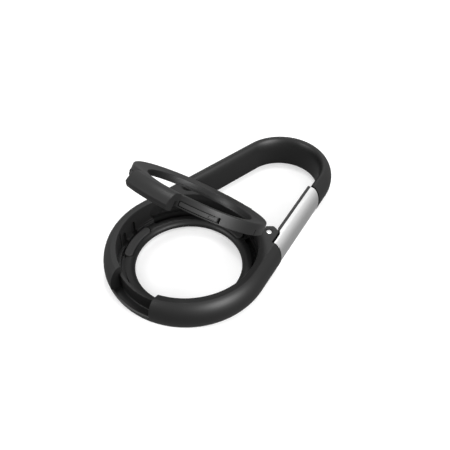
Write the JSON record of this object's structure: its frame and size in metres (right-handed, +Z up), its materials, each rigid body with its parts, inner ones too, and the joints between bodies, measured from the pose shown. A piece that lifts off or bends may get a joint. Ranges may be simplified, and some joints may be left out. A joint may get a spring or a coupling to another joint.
{
  "type": "carabiner keyring",
  "caption": "Flat black carabiner keyring that holds a coin-sized tracker under a hinged, snap-shut ring lid, with a silver sprung gate on one rail.",
  "frame": {"origin": "under the middle of the carabiner's length and width, on the surface that it lies on", "axes": "+Y along the carabiner from the tracker ring to the loop, +Z up out of its flat top, +X towards the gate's rail"},
  "size_m": [0.042, 0.0749, 0.034],
  "materials": {
    "body_black": "fine matte",
    "lid_black": "fine matte",
    "gate_black": "fine matte",
    "pad_rubber": "matte",
    "satin_silver": "satin",
    "pin_steel": "turned and polished"
  },
  "bodies": {
    "frame": {"body_frame": "body_black", "seat_pad_left": "pad_rubber", "seat_pad_right": "pad_rubber", "seat_pad_hinge": "pad_rubber", "lid_hinge_pin": "pin_steel", "gate_pin": "pin_steel", "gate_spring": "pin_steel"},
    "lid": {"lid_ring": "lid_black", "snap_bar_left": "gate_black", "snap_bar_right": "gate_black"},
    "gate": {"gate_sleeve": "satin_silver", "gate_core": "gate_black"}
  },
  "joints": [
    {"name": "lid_hinge", "type": "hinge", "parent": "frame", "child": "lid", "pos_m": [0, 0.00295, 0.0077], "axis": [-1, 0, 0], "range_deg": [-41.6, 68.4]},
    {"name": "gate_hinge", "type": "hinge", "parent": "frame", "child": "gate", "pos_m": [0.01322, -0.0008, 0.0044], "axis": [0, 0, 1], "range_deg": [0, 28], "stiffness_Nm_per_rad": 0.02, "springref_deg": -28.65}
  ]
}
